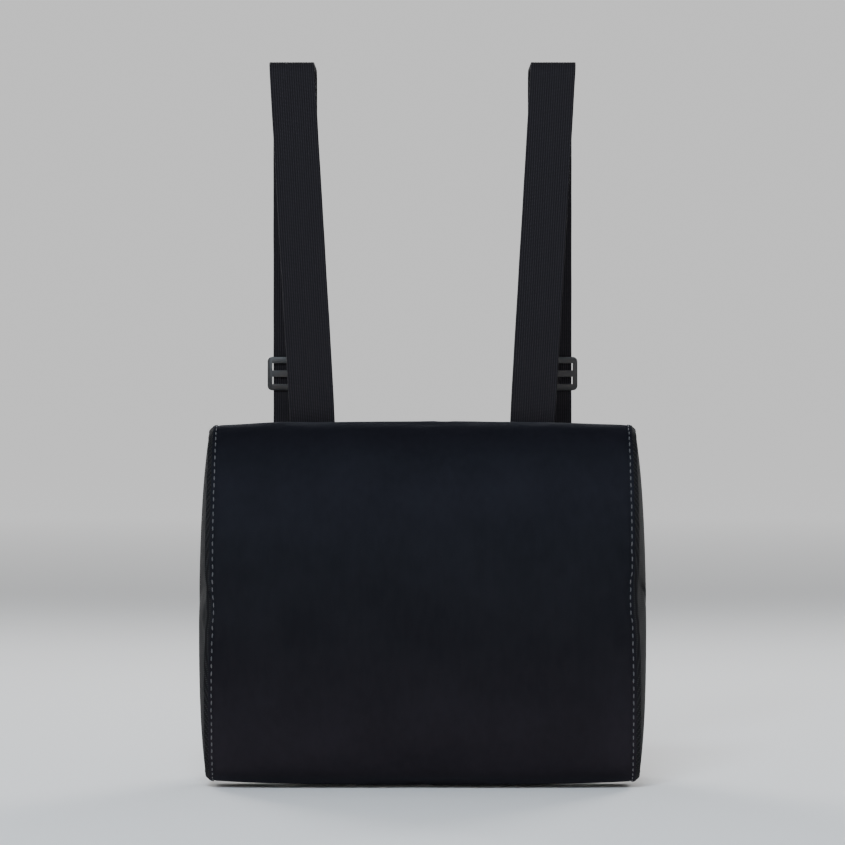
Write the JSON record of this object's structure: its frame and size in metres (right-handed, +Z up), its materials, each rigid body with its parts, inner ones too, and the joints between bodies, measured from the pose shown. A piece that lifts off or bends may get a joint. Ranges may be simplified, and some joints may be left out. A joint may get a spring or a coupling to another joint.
{
  "type": "lumbar support cushion",
  "caption": "Crowned velvet lumbar cushion with cloth sides and a zipped back, held to a slotted backrest by elastic straps with adjusters and side-release buckles.",
  "frame": {"origin": "on the flat back of the cover, at the middle of the cushion's width and height", "axes": "+X to the right as seen from the front, +Y backwards out of the cushion's back towards the backrest, +Z up; the cushion is upright, not leaning with a backrest"},
  "size_m": [0.2928, 0.2069, 0.4766],
  "materials": {
    "velvet": "matte",
    "side_cloth": "matte",
    "foam": "matte",
    "non_woven": "matte",
    "elastic_webbing": "matte",
    "zip_tape": "matte",
    "nylon_coil": "satin",
    "acetal": "satin",
    "dark_zinc": "satin"
  },
  "bodies": {
    "root": {"foam_core": "foam", "foam_liner": "non_woven", "cover_front_panel": "velvet", "cover_left_side": "side_cloth", "cover_right_side": "side_cloth", "cover_back_upper": "side_cloth", "cover_back_lower": "side_cloth", "zipper_tape_upper": "zip_tape", "zipper_tape_lower": "zip_tape", "zipper_coil_upper": "nylon_coil", "zipper_coil_lower": "nylon_coil", "zipper_bottom_stop": "dark_zinc", "zipper_top_stop_upper": "dark_zinc", "zipper_top_stop_lower": "dark_zinc", "left_upper_strap": "elastic_webbing", "left_strap_return": "elastic_webbing", "left_lower_strap": "elastic_webbing", "left_lower_strap_end": "elastic_webbing", "left_buckle_plug": "acetal", "right_upper_strap": "elastic_webbing", "right_strap_return": "elastic_webbing", "right_lower_strap": "elastic_webbing", "right_lower_strap_end": "elastic_webbing", "right_buckle_plug": "acetal"},
    "zip_slider": {"zipper_slider": "dark_zinc"},
    "zip_puller": {"zipper_puller": "dark_zinc"},
    "left_glide": {"left_strap_glide": "acetal"},
    "left_socket": {"left_buckle_socket": "acetal"},
    "left_prong_outer": {"left_buckle_prong_outer": "acetal"},
    "left_prong_inner": {"left_buckle_prong_inner": "acetal"},
    "right_glide": {"right_strap_glide": "acetal"},
    "right_socket": {"right_buckle_socket": "acetal"},
    "right_prong_outer": {"right_buckle_prong_outer": "acetal"},
    "right_prong_inner": {"right_buckle_prong_inner": "acetal"}
  },
  "joints": [
    {"name": "zip_run", "type": "slide", "parent": "root", "child": "zip_slider", "axis": [-1, 0, 0], "range_m": [0, 0.248], "deforming": ["zipper_coil_upper", "zipper_coil_lower"]},
    {"name": "puller_flip", "type": "hinge", "parent": "zip_slider", "child": "zip_puller", "pos_m": [0.1245, 0.0023, -0.049], "axis": [0, 0, -1], "range_deg": [0, 170]},
    {"name": "left_adjust", "type": "slide", "parent": "root", "child": "left_glide", "axis": [0, 0, 1], "range_m": [-0.03, 0.06], "deforming": ["left_strap_return"]},
    {"name": "left_release", "type": "slide", "parent": "root", "child": "left_socket", "axis": [0, 0, -1], "range_m": [0, 0.028], "deforming": ["left_lower_strap_end", "left_buckle_prong_outer", "left_buckle_prong_inner"]},
    {"name": "left_squeeze_outer", "type": "hinge", "parent": "root", "child": "left_prong_outer", "pos_m": [-0.0986, 0.1072, 0.044], "axis": [0, -1, 0], "range_deg": [0, 13], "stiffness_Nm_per_rad": 0.004},
    {"name": "left_squeeze_inner", "type": "hinge", "parent": "root", "child": "left_prong_inner", "pos_m": [-0.0754, 0.1072, 0.044], "axis": [0, -1, 0], "range_deg": [-13, 0], "stiffness_Nm_per_rad": 0.004},
    {"name": "right_adjust", "type": "slide", "parent": "root", "child": "right_glide", "axis": [0, 0, 1], "range_m": [-0.03, 0.06], "deforming": ["right_strap_return"]},
    {"name": "right_release", "type": "slide", "parent": "root", "child": "right_socket", "axis": [0, 0, -1], "range_m": [0, 0.028], "deforming": ["right_lower_strap_end", "right_buckle_prong_outer", "right_buckle_prong_inner"]},
    {"name": "right_squeeze_outer", "type": "hinge", "parent": "root", "child": "right_prong_outer", "pos_m": [0.0986, 0.1072, 0.044], "axis": [0, 1, 0], "range_deg": [0, 13], "stiffness_Nm_per_rad": 0.004},
    {"name": "right_squeeze_inner", "type": "hinge", "parent": "root", "child": "right_prong_inner", "pos_m": [0.0754, 0.1072, 0.044], "axis": [0, 1, 0], "range_deg": [-13, 0], "stiffness_Nm_per_rad": 0.004}
  ],
  "couplings": [
    {"joint": "left_squeeze_inner", "follows": "left_squeeze_outer", "ratio": -1},
    {"joint": "right_squeeze_inner", "follows": "right_squeeze_outer", "ratio": -1}
  ]
}
